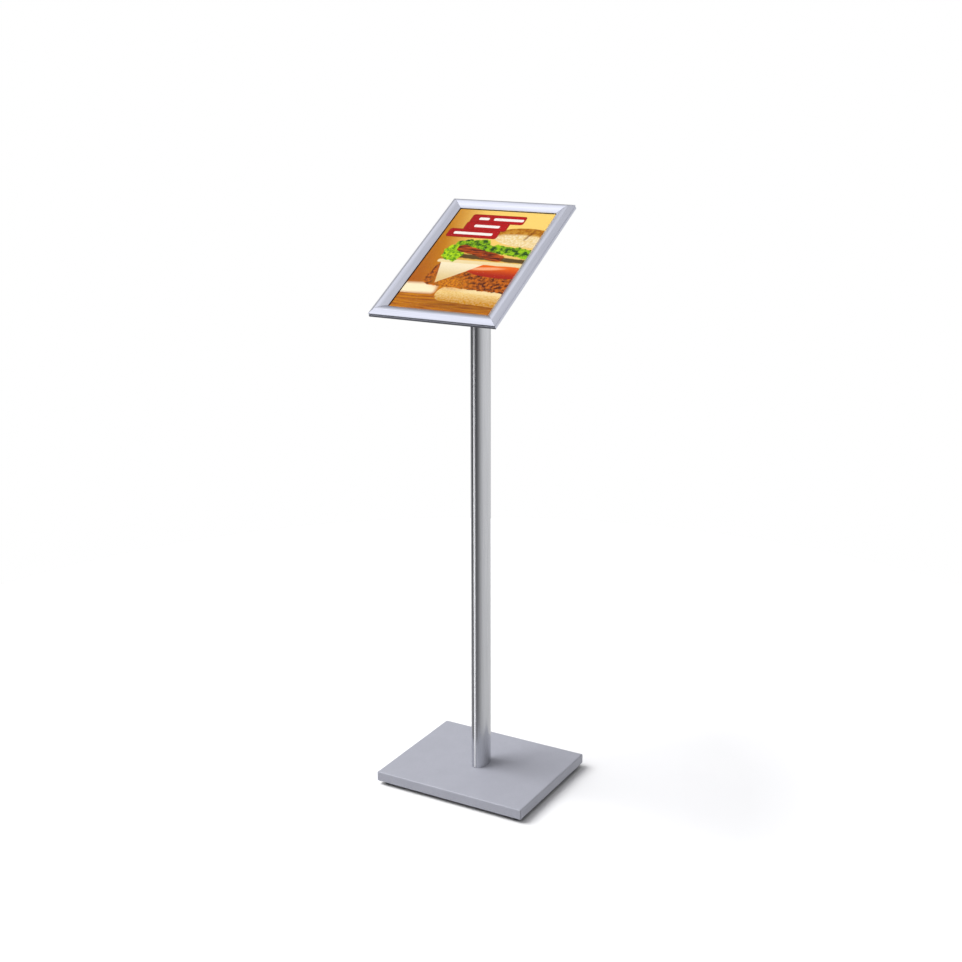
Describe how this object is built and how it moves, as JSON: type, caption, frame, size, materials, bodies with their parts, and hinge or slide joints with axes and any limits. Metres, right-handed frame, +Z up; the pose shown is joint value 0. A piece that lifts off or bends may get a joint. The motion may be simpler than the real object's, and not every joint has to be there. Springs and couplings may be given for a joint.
{
  "type": "sign stand",
  "caption": "Floor-standing sign holder: rectangular weighted base, slim oval post, and a tilted snap-open poster frame that turns between portrait and landscape.",
  "frame": {"origin": "on the floor, under the middle of the whole outline, 20 mm in front of the middle of the base", "axes": "+Z up; the sign faces -Y, with its low edge towards -Y; +X is to the right for a reader who faces the sign from -Y looking along +Y"},
  "size_m": [0.3, 0.2908, 1.0519],
  "materials": {
    "silver_powder_coat": "fine satin powder coat, silver grey",
    "black_primed_steel": "black primed steel plate",
    "zinc_plated_steel": "bright zinc plate",
    "galvanised_steel": "galvanised sheet steel",
    "black_rubber": "matt black rubber",
    "silver_anodised_aluminium": "satin silver anodised extrusion",
    "cast_aluminium": "silver painted casting",
    "white_nylon": "natural nylon",
    "pale_strip": "pale silver-white extruded strip",
    "spring_steel": "oiled spring steel",
    "black_panel": "black hardboard-backed polystyrene",
    "printed_poster": "colour print on silk-coated paper",
    "clear_cover": "clear anti-glare PVC sheet"
  },
  "bodies": {
    "stand": {"base_cover": "silver_powder_coat", "ballast_plate": "black_primed_steel", "foot_front_left": "black_rubber", "foot_front_right": "black_rubber", "foot_back_left": "black_rubber", "foot_back_right": "black_rubber", "foot_screw_front_left": "zinc_plated_steel", "foot_screw_front_right": "zinc_plated_steel", "foot_screw_back_left": "zinc_plated_steel", "foot_screw_back_right": "zinc_plated_steel", "post_washer_front": "zinc_plated_steel", "post_washer_back": "zinc_plated_steel", "post_bolt_front": "zinc_plated_steel", "post_bolt_back": "zinc_plated_steel", "post": "silver_anodised_aluminium", "post_strip_front": "pale_strip", "post_strip_back": "pale_strip", "head_casting": "cast_aluminium", "head_screw_left": "zinc_plated_steel", "head_screw_right": "zinc_plated_steel", "glide_ring": "white_nylon", "disc_spring": "spring_steel", "pivot_bolt": "zinc_plated_steel"},
    "sign_frame": {"mounting_plate": "galvanised_steel", "back_panel": "black_panel", "plate_screw_1": "zinc_plated_steel", "plate_screw_2": "zinc_plated_steel", "plate_screw_3": "zinc_plated_steel", "plate_screw_4": "zinc_plated_steel", "poster": "printed_poster", "cover_sheet": "clear_cover", "rail_bottom": "silver_anodised_aluminium", "rail_right": "silver_anodised_aluminium", "rail_top": "silver_anodised_aluminium", "rail_left": "silver_anodised_aluminium", "corner_key_bottom_left": "spring_steel", "corner_key_bottom_right": "spring_steel", "corner_key_top_right": "spring_steel", "corner_key_top_left": "spring_steel", "spring_bottom": "spring_steel", "spring_right_1": "spring_steel", "spring_right_2": "spring_steel", "spring_top": "spring_steel", "spring_left_1": "spring_steel", "spring_left_2": "spring_steel"},
    "snap_profile_bottom": {"snap_bottom": "silver_anodised_aluminium"},
    "snap_profile_right": {"snap_right": "silver_anodised_aluminium"},
    "snap_profile_top": {"snap_top": "silver_anodised_aluminium"},
    "snap_profile_left": {"snap_left": "silver_anodised_aluminium"}
  },
  "joints": [
    {"name": "frame_turn", "type": "hinge", "parent": "stand", "child": "sign_frame", "pos_m": [0, 0.003, 0.95832], "axis": [0, -0.5, 0.866], "range_deg": [0, 90]},
    {"name": "snap_bottom_hinge", "type": "hinge", "parent": "sign_frame", "child": "snap_profile_bottom", "pos_m": [0, -0.14257, 0.88744], "axis": [1, 0, 0], "range_deg": [0, 80]},
    {"name": "snap_right_hinge", "type": "hinge", "parent": "sign_frame", "child": "snap_profile_right", "pos_m": [0.118, -0.0027, 0.96819], "axis": [0, 0.866, 0.5], "range_deg": [0, 80]},
    {"name": "snap_top_hinge", "type": "hinge", "parent": "sign_frame", "child": "snap_profile_top", "pos_m": [0, 0.13716, 1.04894], "axis": [-1, 0, 0], "range_deg": [0, 80]},
    {"name": "snap_left_hinge", "type": "hinge", "parent": "sign_frame", "child": "snap_profile_left", "pos_m": [-0.118, -0.0027, 0.96819], "axis": [0, -0.866, -0.5], "range_deg": [0, 80]}
  ]
}
